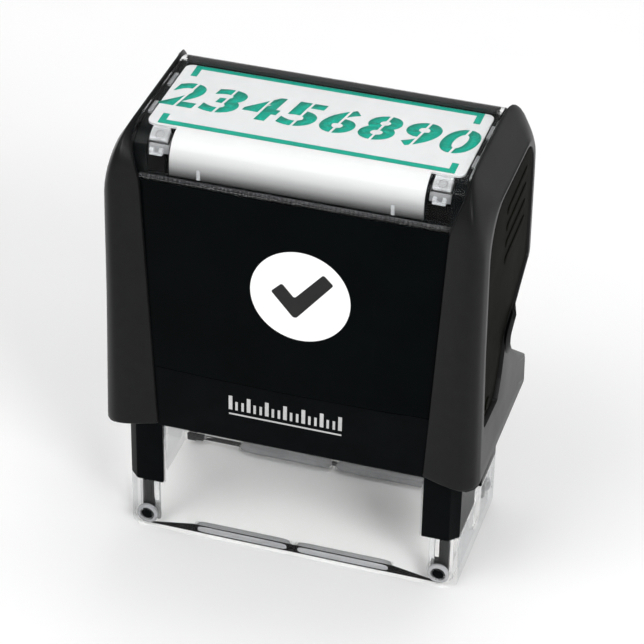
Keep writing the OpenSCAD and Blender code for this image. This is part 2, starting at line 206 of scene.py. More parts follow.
finishes = {
    "panelPolish": {"colors": [(0.0014, 0.0021, 0.0023), (0.0019, 0.0028, 0.0031)], "gloss": 0.14,
                    "spread": 0.06, "grain": (900, 2e-7), "specular": 0.014, "marks": (0.02, 700)},
    "frameGloss": {"colors": [(0.0015, 0.0022, 0.0025), (0.0022, 0.0031, 0.0035)], "gloss": 0.24,
                   "spread": 0.12, "grain": (2500, 1.2e-6), "specular": 0.025, "marks": (0.02, 800)},
    "innerBlack": {"colors": [(0.010, 0.010, 0.011), (0.013, 0.013, 0.014)], "gloss": 0.42,
                   "spread": 0.15, "grain": (3500, 3e-6), "specular": 0.4, "marks": (0.1, 900)},
    "armSatin": {"colors": [(0.0062, 0.0063, 0.0066), (0.0078, 0.0079, 0.0083)], "gloss": 0.34,
                 "spread": 0.10, "grain": (4200, 3.0e-6), "specular": 0.12, "marks": (0.02, 1000)},
    "gripSoft": {"colors": [(0.0028, 0.0030, 0.0018), (0.0040, 0.0042, 0.0027)], "gloss": 0.62,
                 "spread": 0.12, "grain": (5200, 7e-6), "specular": 0.012, "marks": (0.0, 1200)},
    "cardWhite": {"colors": [(0.58, 0.58, 0.585), (0.565, 0.565, 0.57)], "gloss": 0.45, "spread": 0.10,
                  "grain": (6000, 1.5e-6), "specular": 0.1, "marks": (0, 900)},
    "printTeal": {"colors": [(0.0, 0.25, 0.175), (0.001, 0.27, 0.19)], "gloss": 0.42, "spread": 0.10,
                  "grain": (6000, 1.5e-6), "specular": 0.08, "marks": (0, 900)},
    "printWhite": {"colors": [(0.93, 0.93, 0.93), (0.90, 0.90, 0.90)], "gloss": 0.40, "spread": 0.08,
                   "grain": (5000, 1e-6), "specular": 0.4, "marks": (0, 900)},
    "printBlack": {"colors": [(0.003, 0.003, 0.003), (0.005, 0.005, 0.005)], "gloss": 0.35,
                   "spread": 0.08, "grain": (5000, 1e-6), "specular": 0.3, "marks": (0, 900)},
    "printGrey": {"colors": [(0.46, 0.46, 0.46), (0.54, 0.54, 0.54)], "gloss": 0.45, "spread": 0.10,
                  "grain": (5000, 2e-6), "specular": 0.4, "marks": (0.2, 900)},
    "wireSteel": {"colors": [(0.52, 0.52, 0.53), (0.66, 0.66, 0.67)], "gloss": 0.24, "spread": 0.15,
                  "grain": (3000, 2e-6), "specular": 0.5, "marks": (0.2, 900), "metal": 1.0},
    "inkFoam": {"colors": [(0.010, 0.20, 0.155), (0.020, 0.30, 0.235)], "gloss": 0.55, "spread": 0.3,
                "grain": (1800, 4e-5), "specular": 0.5, "marks": (0, 900)},
    "cushionFoam": {"colors": [(0.55, 0.50, 0.38), (0.62, 0.57, 0.45)], "gloss": 0.8, "spread": 0.1,
                    "grain": (2500, 2e-5), "specular": 0.3, "marks": (0, 900)},
    "dieRubber": {"colors": [(0.36, 0.065, 0.042), (0.44, 0.090, 0.058)], "gloss": 0.5, "spread": 0.2,
                  "grain": (3500, 8e-6), "specular": 0.4, "marks": (0.2, 900)},
    "rackGrey": {"colors": [(0.05, 0.05, 0.053), (0.07, 0.07, 0.073)], "gloss": 0.2, "spread": 0.1,
                 "grain": (1200, 1e-6), "specular": 0.5, "marks": (0, 900)},
    "lipGrey": {"colors": [(0.26, 0.265, 0.275), (0.34, 0.345, 0.355)], "gloss": 0.18, "spread": 0.1,
                "grain": (900, 2e-6), "specular": 0.5, "marks": (0, 900)},
    "milkPlastic": {"colors": [(0.17, 0.173, 0.178), (0.24, 0.243, 0.248)], "gloss": 0.16, "spread": 0.08,
                    "grain": (1200, 1e-6), "specular": 0.5, "marks": (0, 900)},
    "paleFloor": {"colors": [(0.97, 0.97, 0.97), (0.98, 0.98, 0.98)], "gloss": 0.75, "spread": 0.05,
                  "grain": (300, 1e-7), "specular": 0.1, "marks": (0, 50)},
}


def grainNode(tree, look):
    # the surface grain with one finish's own numbers
    grain = addNode(tree, "ShaderNodeGroup", {"node_tree": grainGroup})
    settings = (*look["grain"], look["gloss"], look["spread"])
    for socket, value in zip(("Scale", "Height", "Gloss", "Spread"), settings):
        grain.inputs[socket].default_value = value
    return grain


def mottleNode(tree, scale, first, second):
    mottle = addNode(tree, "ShaderNodeGroup", {"node_tree": mottleGroup})
    for socket, value in zip(("Scale", "First", "Second"), (scale, (*first, 1), (*second, 1))):
        mottle.inputs[socket].default_value = value
    return mottle


def opaque(name, look):
    material = bpy.data.materials.new(name)
    material.use_nodes = True
    tree = material.node_tree
    shader = tree.nodes["Principled BSDF"]
    link = tree.links.new
    mottle = mottleNode(tree, look["grain"][0] * 0.12, *look["colors"])
    grain = grainNode(tree, look)
    color, rough = mottle.outputs["Color"], grain.outputs["Roughness"]
    if look["marks"][0]:
        marks = addNode(tree, "ShaderNodeGroup", {"node_tree": scuffGroup})
        marks.inputs["Amount"].default_value, marks.inputs["Fineness"].default_value = look["marks"]
        worn = addNode(tree, "ShaderNodeMix", {"data_type": "RGBA"})
        worn.inputs[7].default_value = tuple(0.03 + 1.6 * c for c in look["colors"][1]) + (1,)
        link(marks.outputs["Mask"], worn.inputs["Factor"])
        link(color, worn.inputs[6])
        color = worn.outputs[2]
        rough = mathNode(tree, "ADD", rough, mathNode(tree, "MULTIPLY", marks.outputs["Mask"], 0.35))
    link(color, shader.inputs["Base Color"])
    link(rough, shader.inputs["Roughness"])
    link(grain.outputs["Normal"], shader.inputs["Normal"])
    shader.inputs["Specular IOR Level"].default_value = look["specular"]
    shader.inputs["Metallic"].default_value = look.get("metal", 0.0)
    return material


# each edge entry is a painted shade: a dark colour, and the power with which it grows where the surface turns
# away from the view
clearLooks = {
    "windowClear": {"tint": (0.985, 0.99, 0.99), "gloss": 0.03, "spread": 0.03, "grain": (260, 1.5e-6),
                    "ior": 1.13, "shadow": (0.95, 0.955, 0.955), "specular": 0.12,
                    "edge": (0.08, 0.08, 0.085, 4.0)},
    "hookClear": {"tint": (0.90, 0.91, 0.92), "gloss": 0.08, "spread": 0.05, "grain": (500, 2e-6),
                  "ior": 1.47, "shadow": (0.85, 0.86, 0.87), "clear": 0.78, "specular": 0.5},
    "footClear": {"tint": (0.965, 0.965, 0.96), "gloss": 0.04, "spread": 0.05, "grain": (320, 2e-6),
                  "ior": 1.02, "shadow": (0.93, 0.93, 0.925), "specular": 0.5, "coat": 0.5,
                  "edge": (0.30, 0.32, 0.35, 3.0)},
}


def clearPlastic(name, look):
    material = bpy.data.materials.new(name)
    material.use_nodes = True
    tree = material.node_tree
    shader = tree.nodes["Principled BSDF"]
    link = tree.links.new
    grain = grainNode(tree, look)
    mottle = mottleNode(tree, 60, look["tint"], [0.985 * c for c in look["tint"]])
    color = mottle.outputs["Color"]
    if "edge" in look:  # painted shade: the colour turns darker where the surface turns away from the view, as thick edges of clear plastic look
        facing = addNode(tree, "ShaderNodeLayerWeight", Blend=0.5)
        paintedEdgeShade = addNode(tree, "ShaderNodeMix", {"data_type": "RGBA"})
        paintedEdgeShade.inputs[7].default_value = (*look["edge"][:3], 1)
        link(mathNode(tree, "POWER", facing.outputs["Facing"], look["edge"][3]), paintedEdgeShade.inputs["Factor"])
        link(color, paintedEdgeShade.inputs[6])
        color = paintedEdgeShade.outputs[2]
    link(color, shader.inputs["Base Color"])
    link(grain.outputs["Roughness"], shader.inputs["Roughness"])
    link(grain.outputs["Normal"], shader.inputs["Normal"])
    shader.inputs["Coat Weight"].default_value = look.get("coat", 0.0)
    shader.inputs["IOR"].default_value = look["ior"]
    shader.inputs["Specular IOR Level"].default_value = look["specular"]
    shader.inputs["Transmission Weight"].default_value = look.get("clear", 1.0)
    # light passes straight through for shadows, so that what is behind stays lit
    path = addNode(tree, "ShaderNodeLightPath")
    through = addNode(tree, "ShaderNodeBsdfTransparent")
    through.inputs["Color"].default_value = (*look["shadow"], 1)
    mix = addNode(tree, "ShaderNodeMixShader")
    link(path.outputs["Is Shadow Ray"], mix.inputs["Fac"])
    link(shader.outputs["BSDF"], mix.inputs[1])
    link(through.outputs["BSDF"], mix.inputs[2])
    link(mix.outputs["Shader"], tree.nodes["Material Output"].inputs["Surface"])
    return material


finish = {name: opaque(name, look) for name, look in finishes.items()}
finish.update({name: clearPlastic(name, look) for name, look in clearLooks.items()})
print("finishes made:", len(finish))

# shapes, all in millimetres


def strip(grid, closeRound=False, closeAlong=False, ends=False):
    # a grid of points, rings by points on a ring, as four-cornered faces; ends shuts the first and last ring
    along, around = grid.shape[:2]
    index = np.arange(along * around).reshape(along, around)
    index = np.vstack([index, index[:1]]) if closeAlong else index
    index = np.hstack([index, index[:, :1]]) if closeRound else index
    faces = np.stack([index[:-1, :-1], index[:-1, 1:], index[1:, 1:], index[1:, :-1]], -1)
    faces = faces.reshape(-1, 4).tolist()
    if ends:
        ring = np.arange(around)
        faces += [ring[::-1].tolist(), (ring + (along - 1) * around).tolist()]
    return grid.reshape(-1, 3), faces


def joined(*shapes):
    starts = np.cumsum([0] + [len(points) for points, _ in shapes])
    faces = [[i + start for i in face] for start, (_, part) in zip(starts.tolist(), shapes) for face in part]
    return np.vstack([points for points, _ in shapes]), faces


def flipped(shape, axis):
    # mirror image in the plane across one axis, turned the right way out again
    points = shape[0].copy()
    points[:, axis] *= -1
    return points, [face[::-1] for face in shape[1]]


def prism(outline, axis, low, high, rows=1):
    # an outline in the two other axes, carried straight along one axis
    outline = np.asarray(outline, float)
    grid = np.empty((rows + 1, len(outline), 3))
    grid[..., axis] = np.linspace(low, high, rows + 1)[:, None]
    grid[..., [a for a in range(3) if a != axis]] = outline
    return strip(grid, closeRound=True, ends=True)


def turned(profile, centre, axis, around=40, ring=False):
    # radius and height pairs swept round an axis; ring joins the last pair to the first
    profile = np.asarray(profile, float)
    turn = np.linspace(0, 2 * np.pi, around, endpoint=False)
    first, second = [a for a in range(3) if a != axis]
    grid = np.empty((len(profile), around, 3))
    grid[..., first] = centre[first] + profile[:, :1] * np.cos(turn)
    grid[..., second] = centre[second] + profile[:, :1] * np.sin(turn)
    grid[..., axis] = centre[axis] + profile[:, 1:]
    return strip(grid, closeRound=True, closeAlong=ring, ends=not ring)


def arcPoints(centre, radius, start, stop, count):
    turn = np.radians(np.linspace(start, stop, count))
    return np.stack([centre[0] + radius * np.cos(turn), centre[1] + radius * np.sin(turn)], 1)


def insetCorners(corners, insets):
    # every side moved inwards by its own distance, and each corner put where its two moved sides meet
    side = np.roll(corners, -1, 0) - corners
    side /= np.linalg.norm(side, axis=1, keepdims=True)
    inward = np.stack([-side[:, 1], side[:, 0]], 1)
    before = np.roll(inward, 1, 0)
    reach = np.stack([(before * corners).sum(1) + np.roll(insets, 1, 1),
                      (inward * corners).sum(1) + insets], -1)
    pairs = np.broadcast_to(np.stack([before, inward], 1), (*insets.shape, 2, 2))
    return np.linalg.solve(pairs, reach[..., None])[..., 0]


def roundedLoop(corners, radii, arcCount=9, lineCount=12):
    # each corner becomes a true arc: a rational quadratic curve whose middle weighs the sine of half the
    # corner. The points of a side bunch up towards its two ends
    before, after = np.roll(corners, 1, -2) - corners, np.roll(corners, -1, -2) - corners
    before /= np.linalg.norm(before, axis=-1, keepdims=True)
    after /= np.linalg.norm(after, axis=-1, keepdims=True)
    half = 0.5 * np.arccos(np.clip((before * after).sum(-1, keepdims=True), -1, 1))
    reach = radii[..., None] / np.tan(half)
    start, stop = corners + before * reach, corners + after * reach
    t = np.linspace(0, 1, arcCount)[:, None]
    middle = np.sin(half)[..., None, :]
    bottom = (1 - t) ** 2 + 2 * middle * t * (1 - t) + t ** 2
    arcs = ((1 - t) ** 2 * start[..., None, :] + 2 * middle * t * (1 - t) * corners[..., None, :]
            + t ** 2 * stop[..., None, :]) / bottom
    s = (0.5 - 0.5 * np.cos(np.pi * np.arange(1, lineCount + 1) / (lineCount + 1)))[:, None]
    lines = stop[..., None, :] * (1 - s) + np.roll(start, -1, -2)[..., None, :] * s
    loop = np.concatenate([arcs, lines], -2)
    return loop.reshape(*loop.shape[:-3], -1, 2)


def roundRectangle(low, high, radius):
    (x0, y0), (x1, y1) = low, high
    corners = np.array([(x0, y0), (x1, y0), (x1, y1), (x0, y1)], float)
    return roundedLoop(corners, np.full(4, float(radius)), arcCount=6, lineCount=1)


def smoothRows(values, count):
    # a smooth curve through evenly spaced values
    values = np.asarray(values, float)
    padded = np.concatenate([[2 * values[0] - values[1]], values, [2 * values[-1] - values[-2]]])
    at = np.linspace(0, len(values) - 1, count)
    i = np.minimum(at.astype(int), len(values) - 2)
    t = at - i
    a, b, c, d = (padded[i + k] for k in range(4))
    return b + 0.5 * t * (c - a + t * (2 * a - 5 * b + 4 * c - d + t * (3 * (b - c) + d - a)))


def piece(name, shape, material, body, bevel=0.0, closed=True, wall=0.0, sharp=None):
    # a mesh from a shape, riding on a body; a wall gives an open skin its thickness inwards
    points, faces = shape
    mesh = bpy.data.meshes.new(name)
    mesh.from_pydata((np.asarray(points) * mm).tolist(), [], faces)
    if closed:
        work = bmesh.new()
        work.from_mesh(mesh)
        bmesh.ops.recalc_face_normals(work, faces=work.faces)
        work.to_mesh(mesh)
        work.free()
    mesh.polygons.foreach_set("use_smooth", np.ones(len(mesh.polygons), bool))
    if sharp:
        mesh.set_sharp_from_angle(angle=math.radians(sharp))
    mesh.materials.append(finish[material])
    obj = bpy.data.objects.new(name, mesh)
    bpy.context.scene.collection.objects.link(obj)
    if wall:
        solid = obj.modifiers.new("wall", "SOLIDIFY")
        solid.thickness, solid.offset, solid.use_even_offset = wall * mm, -1, False
    if bevel:
        addBevel(obj, bevel, 2, 35)
    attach(obj, body)
    return obj


def addBevel(obj, width, segments, angle):
    edge = obj.modifiers.new("edges", "BEVEL")
    edge.width, edge.segments, edge.limit_method = width * mm, segments, "ANGLE"
    edge.angle_limit, edge.use_clamp_overlap, edge.harden_normals = math.radians(angle), False, True


def softened(part, material, slot, body, width, segments=2, flat=False):
    # the same solid with its edges rounded over; flat keeps every face's own normal, for clear plastic
    mesh = nodes[part].data.copy()
    mesh.name = part + "Soft"
    work = bmesh.new()
    work.from_mesh(mesh)
    bmesh.ops.remove_doubles(work, verts=work.verts, dist=2e-6)
    bmesh.ops.dissolve_limit(work, angle_limit=math.radians(1.0), verts=work.verts, edges=work.edges)
    work.to_mesh(mesh)
    work.free()
    mesh.materials.clear()
    mesh.materials.append(finish[material])
    mesh.polygons.foreach_set("use_smooth", np.full(len(mesh.polygons), not flat))
    obj = bpy.data.objects.new(part + "Soft", mesh)
    bpy.context.scene.collection.objects.link(obj)
    addBevel(obj, width, segments, 32)
    obj.modifiers["edges"].harden_normals = not flat
    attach(obj, body)
    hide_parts(part)
    return obj


floorSize = floorPlan["size"] / 2 / mm
floorShape = strip(np.array([[[-floorSize, -floorSize, 0], [floorSize, -floorSize, 0]],
                             [[-floorSize, floorSize, 0], [floorSize, floorSize, 0]]], float)
                   - [0, 0, floorPlan["drop"] / mm])
floorMesh = bpy.data.meshes.new("floor")
floorMesh.from_pydata((floorShape[0] * mm).tolist(), [], [face[::-1] for face in floorShape[1]])
floorMesh.materials.append(finish["paleFloor"])
floor = bpy.data.objects.new("floor", floorMesh)
bpy.context.scene.collection.objects.link(floor)

# base, foot and what is inside them

for settings in (  # part, finish, slot, body, width of the rounding, steps in it
        ("base_frame", "frameGloss", "black_gloss", "base", 0.22, 3),
        ("foot_frame", "footClear", "clear_plastic", "base", 0.18, 3, True),
        ("cap_shell", "frameGloss", "black_gloss", "handle", 0.18, 3),
        ("yoke", "innerBlack", "black_satin", "handle", 0.15),
        ("cartridge_tray", "innerBlack", "black_satin", "cartridge", 0.2),
        ("die_holder", "innerBlack", "black_satin", "platen", 0.18),
        ("die_cushion", "cushionFoam", "cushion_foam", "platen", 0.12),
        ("rear_bumper", "armSatin", "arm_plastic", "handle", 0.3, 3),
        ("rear_panel", "panelPolish", "black_panel", "handle", 0.08),
        ("front_panel", "panelPolish", "black_panel", "handle", 0.08),
        ("left_lock_button", "gripSoft", "black_satin", "lock_left", 0.1),
        ("right_lock_button", "gripSoft", "black_satin", "lock_right", 0.1),
        ("text_die", "dieRubber", "die_rubber", "platen", 0.08)):
    softened(*settings)
print("frame parts softened")

footPlan = {"pinX": 24.5, "pinZ": 2.3, "pinY": (12.95, 10.4), "pin": 1.0, "ringRadius": (1.15, 1.25, 1.75),
            "ringY": (12.85, 12.7, 12.25), "ribRound": 0.25,
            "lipX": (0.3, 16.7), "lipY": 11.35, "lipZ": 0.78, "lipHalf": (0.78, 0.70),
            "ribX": (22.6, 23.5), "ribY": (11.75, 11.0), "ribZ": (0.9, 9.3)}


def quarters(shape):
    other = flipped(shape, 0)
    return joined(shape, other, flipped(shape, 1), flipped(other, 1))


def pinShape(plan):
    # a round pin with a domed head, lying along y
    r, (y0, y1) = plan["pin"], plan["pinY"]
    profile = [(0.02, -y0), (0.55 * r, -y0 + 0.05), (0.85 * r, -y0 + 0.18), (r, -y0 + 0.42), (r, -y1 - 0.2),
               (0.8 * r, -y1), (0.02, -y1)]
    return turned(profile, (plan["pinX"], 0, plan["pinZ"]), 1, 32)


def lipShape(plan):
    # half a flat bar: an oval section that narrows to nothing at its ends
    along = np.linspace(0, 1, 31)[:, None]
    swell = (1 - np.abs(2 * along - 1) ** 16).clip(0.003) ** 0.5
    turn = np.linspace(0, 2 * np.pi, 24, endpoint=False)
    soft = [np.sign(f(turn)) * np.abs(f(turn)) ** 0.55 for f in (np.cos, np.sin)]
    x = plan["lipX"][0] + (plan["lipX"][1] - plan["lipX"][0]) * along + 0 * turn
    y = -plan["lipY"] + plan["lipHalf"][0] * swell * soft[0]
    z = plan["lipZ"] + plan["lipHalf"][1] * swell * soft[1]
    return strip(np.stack([x, y, z], -1), closeRound=True, ends=True)


pins = piece("footPins", quarters(pinShape(footPlan)), "frameGloss", "base", sharp=50)
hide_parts("foot_pins")
ringIn, ringMouth, ringOut = footPlan["ringRadius"]
ringFront, ringStep, ringBack = footPlan["ringY"]
ringWall = [(ringMouth, -ringFront), (ringOut, -ringStep), (ringOut, -ringBack), (ringIn, -ringBack)]
ringCentre = (footPlan["pinX"], 0, footPlan["pinZ"])
piece("pinRings", quarters(turned(ringWall, ringCentre, 1, 40, ring=True)), "lipGrey", "base",
      sharp=60)
piece("footLips", quarters(lipShape(footPlan)), "lipGrey", "base")
ribOutline = roundRectangle((footPlan["ribX"][0], -footPlan["ribY"][0]),
                            (footPlan["ribX"][1], -footPlan["ribY"][1]), footPlan["ribRound"])
piece("footRibs", quarters(prism(ribOutline, 2, *footPlan["ribZ"])), "hookClear", "base",
      bevel=0.08)

springPlan = {"bottom": 39.8, "top": 71.0, "radius": 5.1, "wire": 0.5, "turns": 7.5, "flatTurn": 0.9,
              "perTurn": 40, "around": 12}


def springShape(plan):
    # a helix whose first and last turns lie flat, with a circle carried square to its path
    count = int(plan["turns"] * plan["perTurn"]) + 1
    share = np.linspace(0, 1, count)
    turn = share * plan["turns"] * 2 * np.pi
    dead = plan["flatTurn"] / plan["turns"]
    slope = plan["wire"] / (plan["top"] - plan["bottom"])
    rise = (np.clip((share - dead) / (1 - 2 * dead), 0, 1) + slope * (np.clip(share / dead, 0, 1) - 1)
            + slope * np.clip((share - 1 + dead) / dead, 0, 1))
    low, high = plan["bottom"] + 2 * plan["wire"], plan["top"] - 2 * plan["wire"]
    path = np.stack([plan["radius"] * np.cos(turn), plan["radius"] * np.sin(turn),
                     low + (high - low) * rise], 1)
    path[:, 2] = np.clip(path[:, 2], plan["bottom"] + plan["wire"], plan["top"] - plan["wire"])
    along = np.gradient(path, axis=0)
    along /= np.linalg.norm(along, axis=1, keepdims=True)
    outward = np.stack([np.cos(turn), np.sin(turn), np.zeros(count)], 1)
    upward = np.cross(outward, along)
    a = np.linspace(0, 2 * np.pi, plan["around"], endpoint=False)[:, None]
    grid = path[:, None] + plan["wire"] * (np.cos(a) * outward[:, None] + np.sin(a) * upward[:, None])
    return strip(grid, closeRound=True, ends=True)


spring = piece("coilSpring", springShape(springPlan), "wireSteel", "base")
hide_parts("return_spring")

padPlan = {"half": (23.9, 10.2), "low": 31.8, "high": 36.4, "crown": 0.25, "radius": 1.6, "swell": 0.9,
           "clearance": 0.05}


def padShape(plan):
    # rounded oblong rings that swell outwards at half height, shut by a slightly sagging underside
    share = np.array([0.0, 0.04, 0.12, 0.3, 0.5, 0.7, 0.88, 0.97, 1.0])
    pull = plan["swell"] * (1 - np.sin(np.pi * np.clip(share, 0.02, 0.98)) ** 0.35)
    under = np.linspace(0.02, 0.9, 10)[:, None]
    x, y = plan["half"]
    corners = np.array([(-1, -1), (1, -1), (1, 1), (-1, 1)], float)
    size = np.array([x, y]) - plan["clearance"] - pull[:, None]
    side = roundedLoop(corners * size[:, None], np.full((len(share), 4), plan["radius"]), 8, 10)
    z = plan["low"] + plan["crown"] + (plan["high"] - plan["low"] - plan["crown"]) * share
    rings = np.concatenate([side, np.broadcast_to(z[:, None, None], (*side.shape[:2], 1))], -1)
    inner = under[:, :, None] * side[0]
    sag = plan["low"] + plan["crown"] * (under[:, :, None] ** 4)[..., 0] * np.ones(side.shape[1])
    below = np.concatenate([inner, sag[..., None]], -1)
    return strip(np.concatenate([below, rings]), closeRound=True, ends=True)


pad = piece("inkPad", padShape(padPlan), "inkFoam", "cartridge")
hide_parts("ink_pad")
print("spring and pad made")

# arms and grips

armPlan = {
    # side view corners: y, z, radius; bottom front first, then round by the rear
    "outline": [(-16.1, 22, 0.7), (16.1, 22, 0.7), (16.1, 27.2, 1.0), (0.15, 39.3, 1.6), (16.1, 47.2, 2.0),
                (16.1, 75.2, 7.0), (-16.1, 75.2, 7.0)],
    "sideEnd": [0.5, 0.5, 0.8, 2.0, 1.6, 4.5, 6.5],
    "recess": [(-11.9, 31.7, 0.9), (-3.4, 31.3, 0.8), (-1.5, 34.2, 2.0), (1.4, 40.6, 2.0), (14.2, 47.4, 1.2),
               (14.2, 69.0, 5.0), (-12.7, 69.0, 7.5)],
    "inner": ([22, 67, 73, 75.2], [21.6, 23.9, 25.4, 25.7]),
    "outer": ([22, 45, 62, 69, 75.2], [30.5, 30.0, 29.85, 29.7, 29.5]),
    "depth": 16.1, "lipDepth": 14.1, "lip": 28.45, "recessFloor": 29.05, "skin": 0.6, "rings": 31,
    # from the edge on the panel to the side face: share of the width, and distance in from the outline
    "wallShare": [0, 0.012, 0.05, 0.25, 0.46, 0.62, 0.75, 0.87, 0.95, 1],
    "wallInset": [1.9, 1.5, 1.28, 0.66, 0.16, 0, 0.14, 0.75, 1.55, 2.8],
    "rearInset": [1.9, 1.5, 1.28, 0.66, 0.16, 0, 0.05, 0.2, 0.45, 0.9],
    "lowBack": [0.9, 0.9, 0.9, 0.9, 0.9, 0.9, 0.62, 0.34, 0.12, 0],
    "lowInset": [0, 0, 0, 0, 0, 0, 0, 0.05, 0.16, 0.45],
    "topX": [25.75, 25.8, 25.9, 26.02, 26.18, 26.6, 27.35, 28.15, 28.95, 29.6],
    "topInset": [0.35, 0.14, 0.03, 0, 0.08, 0.75, 2.0, 3.35, 4.65, 5.7],
}


def armShape(plan):
    # rings that run round the side view; each ring's sides are moved in by their own distance, and its x comes
    # from whether it lies on a wall, on the top or on a lower edge
    corners = np.array(plan["outline"], float)
    share, frontIn, rearIn, lowIn, topX, topIn, lowBack = (smoothRows(plan[k], plan["rings"]) for k in (
        "wallShare", "wallInset", "rearInset", "lowInset", "topX", "topInset", "lowBack"))
    insets = np.stack([lowIn, rearIn, lowIn, lowIn, rearIn, topIn, frontIn], 1).clip(0)
    step = np.linspace(0, 1, plan["rings"])[:, None]
    radii = corners[:, 2] + (np.array(plan["sideEnd"]) - corners[:, 2]) * step
    loop = roundedLoop(insetCorners(corners[:, :2], insets), radii)
    ramp = np.linspace(0, 1, 9)
    ramp = (ramp * ramp * (3 - 2 * ramp))[:, None]
    kinds = np.eye(3)[[0, 1, 0, 0, 1, 2, 1]]  # lower edge, wall, top
    weight = np.concatenate([np.concatenate([(1 - ramp) * kinds[k - 1] + ramp * kinds[k],
                                             np.repeat(kinds[k:k + 1], 12, 0)]) for k in range(7)])
    y, z = loop[..., 0], loop[..., 1]
    inner, outer = np.interp(z, *plan["inner"]), np.interp(z, *plan["outer"])
    wallX = inner + share[:, None] * (outer - inner)
    turnFrom = len(plan["wallShare"]) // 2
    bend = [np.interp(plan["depth"] - np.abs(y), plan[k][turnFrom:], plan["wallShare"][turnFrom:])
            for k in ("wallInset", "rearInset")]
    edge = inner + (outer - inner) * np.where(y > 0, bend[1], bend[0])
    outside = np.minimum(outer - lowBack[:, None], edge)
    lip = np.where(np.abs(y) > plan["lipDepth"], inner, plan["lip"])
    inside = lip + np.clip(step * 9 / 5, 0, 1) * (np.minimum(outer - 0.9, edge) - lip)
    lowX = np.where(step * 9 <= 5, inside, outside)
    x = weight[:, 0] * lowX + weight[:, 1] * wallX + weight[:, 2] * topX[:, None]
    rings = np.stack([x, y, z], -1)
    recess = np.array(plan["recess"], float)
    rimInset = np.array([-0.3, -0.08, 0.0, 0.02, 0.9])
    rim = roundedLoop(insetCorners(recess[:, :2], np.repeat(rimInset[:, None], 7, 1)),
                      np.repeat(recess[None, :, 2], 5, 0) - np.minimum(rimInset[:, None], 0.3))
    rimX = np.interp(rim[..., 1], *plan["outer"])
    rimX[1:3] -= np.array([[0.02], [0.12]])
    rimX[3:] = plan["recessFloor"]
    rimRings = np.concatenate([rimX[..., None], rim], -1)
    between = np.linspace(0, 1, 5)[1:-1, None, None]
    face = rings[-1] * (1 - between) + rimRings[0] * between
    face[..., 0] = np.interp(face[..., 2], *plan["outer"]) * 0.6 + face[..., 0] * 0.4
    return strip(np.concatenate([rings, face, rimRings]), closeRound=True)


rightArm = armShape(armPlan)
for name, shape, part in (("rightArm", rightArm, "right_arm"), ("leftArm", flipped(rightArm, 0), "left_arm")):
    arm = piece(name, shape, "armSatin", "handle", closed=False, wall=armPlan["skin"], sharp=38)
    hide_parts(part)

gripPlan = {"clearance": 0.1, "insets": [0, 0, 0.08, 0.3, 1.0, 3.0],
            "x": [29.07, 29.45, 29.56, 29.62, 29.66, 29.69],
            "ribs": 4, "ribX": 29.64, "ribLow": 56.4, "ribPitch": 2.9, "ribY": (-2.5, 10.3), "ribHeight": 0.24,
            "ribHalf": 0.75, "ribTilt": 0.06, "tiltFrom": 4}


def gripShape(plan, recess):
    # a low cushion on the recess's outline, and ribs whose ends and sides round off
    recess = np.array(recess, float)
    insets = np.array(plan["insets"])[:, None] + plan["clearance"]
    loop = roundedLoop(insetCorners(recess[:, :2], np.repeat(insets, 7, 1)),
                       np.maximum(recess[None, :, 2] - 0.5 * insets, 0.3))
    height = np.broadcast_to(np.array(plan["x"])[:, None, None], (*loop.shape[:2], 1))
    pad = np.concatenate([height, loop], -1)
    along = np.linspace(0, 1, 25)[:, None]
    swell = (1 - np.abs(2 * along - 1) ** 12).clip(0.004) ** 0.5
    around = np.linspace(0, 2 * np.pi, 20, endpoint=False)
    across, outwards = (np.sign(f(around)) * np.abs(f(around)) ** 0.6 for f in (np.cos, np.sin))
    y = plan["ribY"][0] + (plan["ribY"][1] - plan["ribY"][0]) * along + 0 * around
    z = plan["ribLow"] + plan["ribTilt"] * (y - plan["tiltFrom"]) + plan["ribHalf"] * swell * across
    x = plan["ribX"] + plan["ribHeight"] * swell * outwards
    ribs = [strip(np.stack([x, y, z + plan["ribPitch"] * k], -1), closeRound=True, ends=True)
            for k in range(plan["ribs"])]
    return joined(strip(pad, closeRound=True, ends=True), *ribs)


rightGrip = gripShape(gripPlan, armPlan["recess"])
leftGrip = flipped(rightGrip, 0)
for name, shape, part in (("rightGrip", rightGrip, "right_grip"), ("leftGrip", leftGrip, "left_grip")):
    grip = piece(name, shape, "gripSoft", "handle", sharp=40)
    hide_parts(part)
print("arms and grips made")

# window, card and its print

windowPlan = {"half": 25.6, "y": 9.2, "z": 70.0, "radius": 5.0, "wall": 1.1, "foot": 67.0}


def archSection(plan, inset):
    # two quarter circles joined across the top, ending straight down on both sides
    r, foot = plan["radius"] - inset, plan["foot"]
    rear = arcPoints((plan["y"], plan["z"]), r, 0, 90, 28)
    front = arcPoints((-plan["y"], plan["z"]), r, 90, 180, 28)
    return np.vstack([[(plan["y"] + r, foot)], rear, front, [(-plan["y"] - r, foot)]])


def windowShape(plan):
    section = np.vstack([archSection(plan, 0), archSection(plan, plan["wall"])[::-1]])
    return prism(section, 0, -plan["half"], plan["half"], 6)


window = piece("clearWindow", windowShape(windowPlan), "windowClear", "window", bevel=0.14)
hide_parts("clear_window")

hookPlan = {"x": (20.4, 23.15), "radii": (2.95, 3.86), "big": (97, 134), "small": (150, 168), "edge": 0.35,
            "leg": 0.6, "mark": 0.62, "markWire": 0.09, "markLift": 0.2,
            "backX": (19.98, 23.32), "backRadii": (2.45, 2.7), "backTurns": (92, 168),
            "shadeX": (20.12, 23.35), "shadeRadii": (2.74, 2.86), "shadeTurns": (95, 138)}
rimPlan = {"half": 24.6, "radii": (3.3, 3.84), "turns": (90.5, 176), "bandRadii": (4.0, 4.82),
           "bandTurns": (91, 130)}


def arcBlock(plan, radii, turns, x, count=14):
    # a thick piece of a quarter cylinder under the window's front bend
    centre = (-plan["y"], plan["z"])
    outline = np.vstack([arcPoints(centre, radii[0], *turns, count),
                         arcPoints(centre, radii[1], *turns[::-1], count)])
    return prism(outline, 0, *x, 3)


